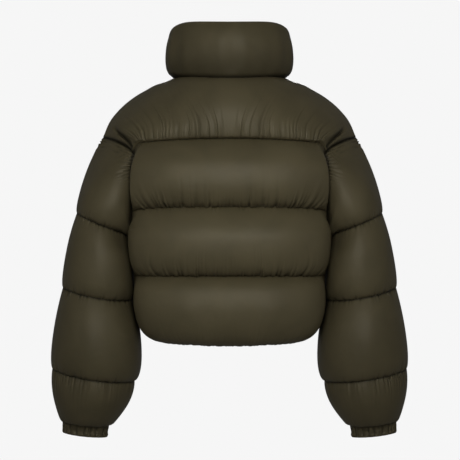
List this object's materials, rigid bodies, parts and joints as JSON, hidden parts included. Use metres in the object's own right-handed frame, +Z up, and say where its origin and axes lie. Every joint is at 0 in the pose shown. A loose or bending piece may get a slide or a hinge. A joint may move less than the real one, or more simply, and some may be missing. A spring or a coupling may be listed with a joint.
{
  "type": "puffer jacket",
  "caption": "Cropped puffer jacket with wide quilted baffles, a padded funnel collar, full sleeves gathered into elastic cuffs, and a zip up the front.",
  "frame": {"origin": "midway between the shoulders at the root of the neck, where the wearer holds the jacket up", "axes": "+Z up towards the collar, +Y to the wearer's back, +X to the wearer's left"},
  "size_m": [0.6704, 0.3135, 0.7744],
  "materials": {
    "shell": "fine downproof nylon with a soft satin sheen, dark olive",
    "cuff": "the same nylon gathered on elastic",
    "tape": "matte woven polyester",
    "teeth": "moulded, satin",
    "metal": "dark lacquer, satin"
  },
  "bodies": {
    "jacket": {"back": "shell", "back_yoke": "shell", "front_left": "shell", "front_right": "shell", "front_yoke_left": "shell", "front_yoke_right": "shell", "sleeve_left": "shell", "sleeve_right": "shell", "collar": "shell", "cuff_left": "cuff", "cuff_right": "cuff", "zip_tape_left": "tape", "zip_tape_right": "tape", "zip_chain": "teeth", "zip_slider": "metal"},
    "pull": {"zip_pull": "metal"}
  },
  "joints": [
    {"name": "zip_pull_swing", "type": "hinge", "parent": "jacket", "child": "pull", "pos_m": [0, -0.0925, 0.04849], "axis": [-1, 0, 0], "range_deg": [0, 135]}
  ]
}
